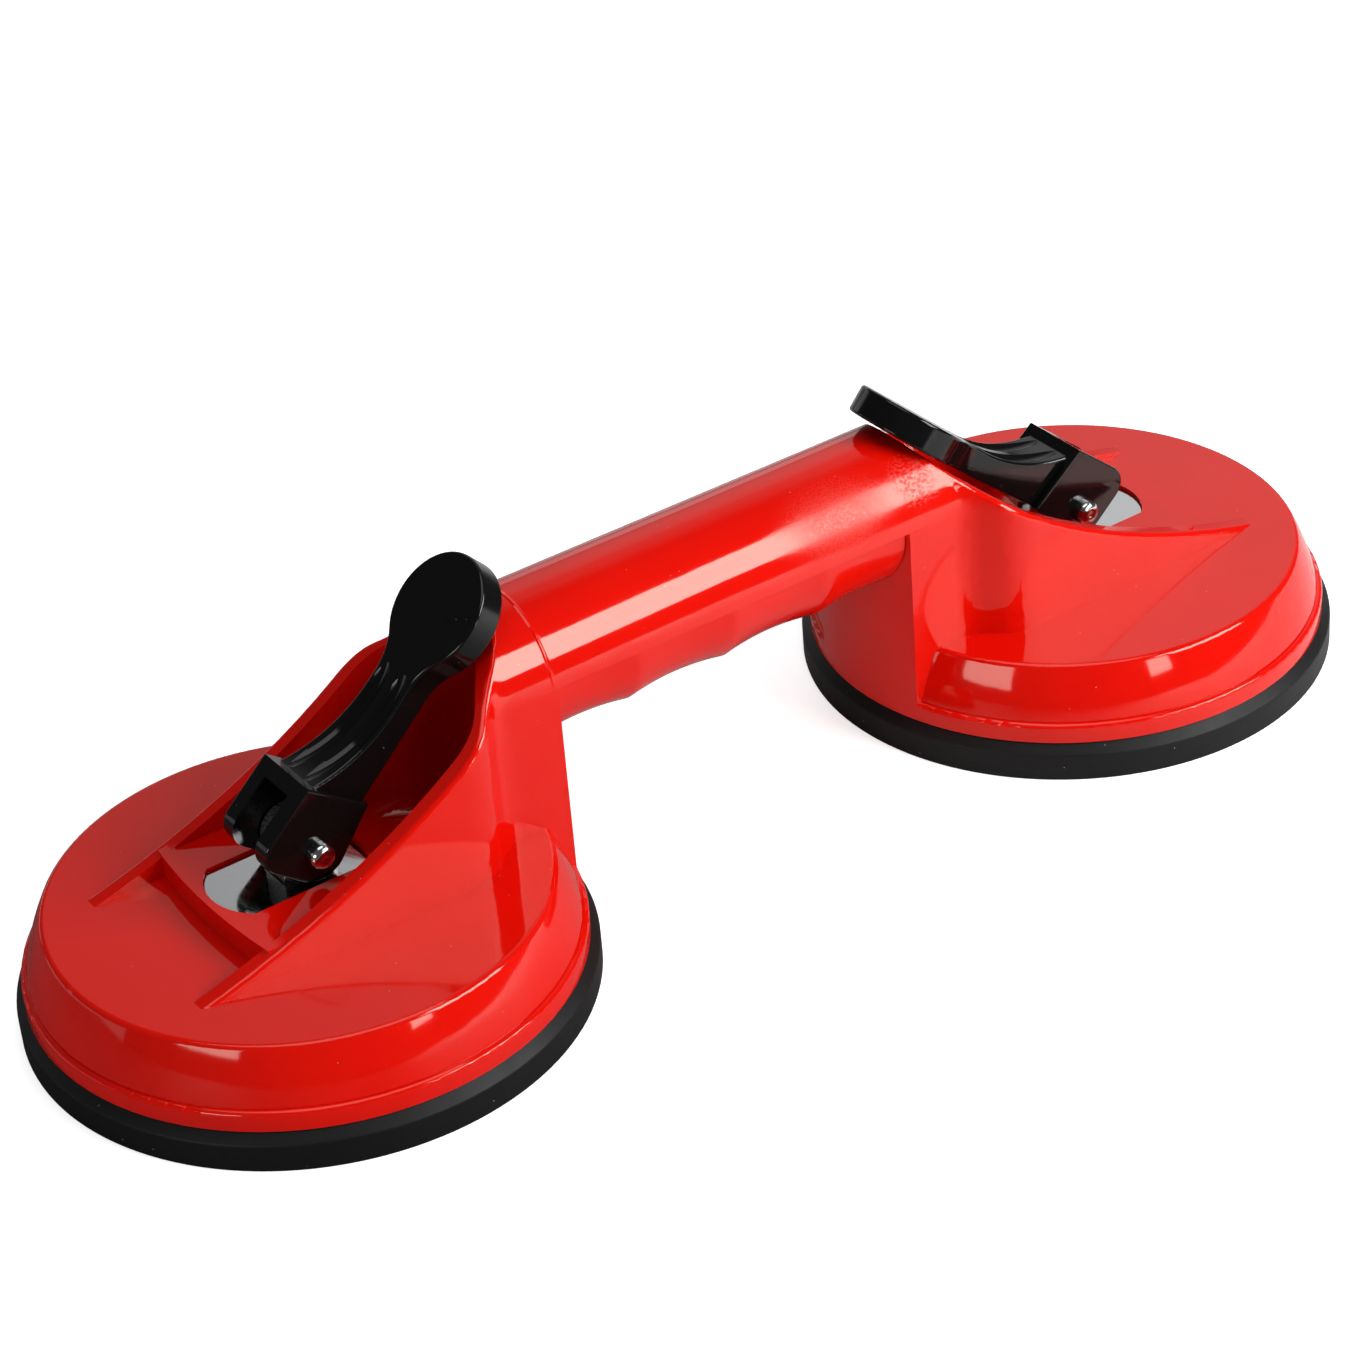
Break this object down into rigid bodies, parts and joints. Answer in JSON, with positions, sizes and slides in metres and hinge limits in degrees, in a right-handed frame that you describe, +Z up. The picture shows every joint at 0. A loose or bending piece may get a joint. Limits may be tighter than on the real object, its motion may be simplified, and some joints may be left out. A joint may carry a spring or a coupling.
{
  "type": "double suction lifter",
  "caption": "Hand lifter with rubber suction cups under a round handle; folding cam levers pull the rubber up to make it grip.",
  "frame": {"origin": "on the floor midway between the two cups", "axes": "+X along the handle, +Z up"},
  "size_m": [0.316, 0.118, 0.0815],
  "materials": {
    "red_plastic": "gloss",
    "black_plastic": "gloss",
    "black_rubber": "satin",
    "plate_steel": "satin",
    "pin_steel": "polished",
    "stud_steel": "satin"
  },
  "bodies": {
    "body": {"handle_body": "red_plastic", "grip_cover": "red_plastic", "wear_plate_left": "plate_steel", "wear_plate_right": "plate_steel", "suction_pad_left": "black_rubber", "suction_pad_right": "black_rubber"},
    "stud_left": {"pull_stud_left": "stud_steel", "pad_insert_left": "stud_steel", "lever_pin_left": "pin_steel"},
    "lever_left": {"cam_lever_left": "black_plastic"},
    "stud_right": {"pull_stud_right": "stud_steel", "pad_insert_right": "stud_steel", "lever_pin_right": "pin_steel"},
    "lever_right": {"cam_lever_right": "black_plastic"}
  },
  "joints": [
    {"name": "stud_slide_left", "type": "slide", "parent": "body", "child": "stud_left", "axis": [0, 0, 1], "range_m": [0, 0.007], "deforming": ["suction_pad_left"]},
    {"name": "lever_hinge_left", "type": "hinge", "parent": "stud_left", "child": "lever_left", "pos_m": [-0.0977, 0, 0.0362], "axis": [0, -1, 0], "range_deg": [0, 138.8]},
    {"name": "stud_slide_right", "type": "slide", "parent": "body", "child": "stud_right", "axis": [0, 0, 1], "range_m": [0, 0.007], "deforming": ["suction_pad_right"]},
    {"name": "lever_hinge_right", "type": "hinge", "parent": "stud_right", "child": "lever_right", "pos_m": [0.0977, 0, 0.0362], "axis": [0, 1, 0], "range_deg": [0, 141]}
  ],
  "couplings": [
    {"joint": "lever_hinge_left", "follows": "stud_slide_left", "rad_per_m": 346.07},
    {"joint": "lever_hinge_right", "follows": "stud_slide_right", "rad_per_m": 351.56}
  ]
}
